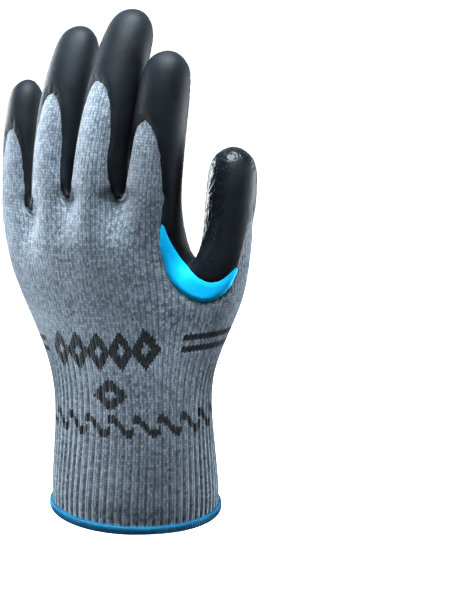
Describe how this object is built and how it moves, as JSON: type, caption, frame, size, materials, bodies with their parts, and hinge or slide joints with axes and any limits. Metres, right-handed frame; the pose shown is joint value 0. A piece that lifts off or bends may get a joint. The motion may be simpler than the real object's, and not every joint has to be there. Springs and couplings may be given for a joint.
{
  "type": "latex coated grip glove",
  "caption": "Left-hand knitted work glove with a latex dipped palm and fingers, a latex guard in the thumb's crotch and a ribbed cuff.",
  "frame": {"origin": "centre of the cuff's opening, where the wearer's wrist comes out", "axes": "+Z runs from the cuff to the fingertips, -Y is the back of the hand, +X is the thumb's side"},
  "size_m": [0.1266, 0.0723, 0.2287],
  "materials": {
    "knit": "heather grey cotton and polyester knit, matte, with near black knitted-in bands",
    "coat": "black natural latex, satin, crinkled on the palm",
    "guard": "bright blue latex, satin",
    "hem": "blue overlock thread, matte"
  },
  "bodies": {
    "root": {"knit_liner": "knit", "latex_coat": "coat", "crotch_guard": "guard", "cuff_binding": "hem"}
  },
  "joints": []
}
